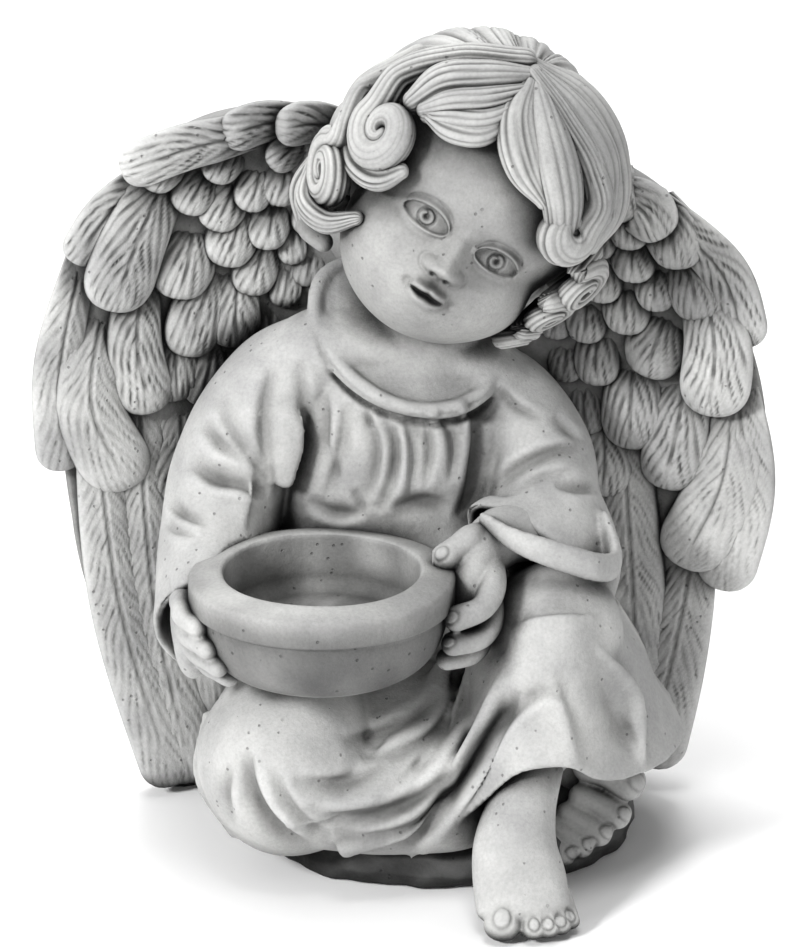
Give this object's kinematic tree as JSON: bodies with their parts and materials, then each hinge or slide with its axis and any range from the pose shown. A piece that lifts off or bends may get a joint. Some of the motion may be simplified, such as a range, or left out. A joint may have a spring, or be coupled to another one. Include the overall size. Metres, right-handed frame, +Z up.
{
  "type": "garden statue",
  "caption": "Seated winged child in a smock, cast in one piece with an open round bowl on its lap, for a garden, sill or shelf.",
  "frame": {"origin": "on the flat underside, beneath the middle of the seated figure", "axes": "+Z up; the figure looks along -Y, so +X is on its left"},
  "size_m": [0.265, 0.1693, 0.2986],
  "materials": {
    "cast_stone": "pale grey cast stone, fine sandy grain, darker in the hollows"
  },
  "bodies": {
    "root": {"cherub_statue": "cast_stone"}
  },
  "joints": []
}
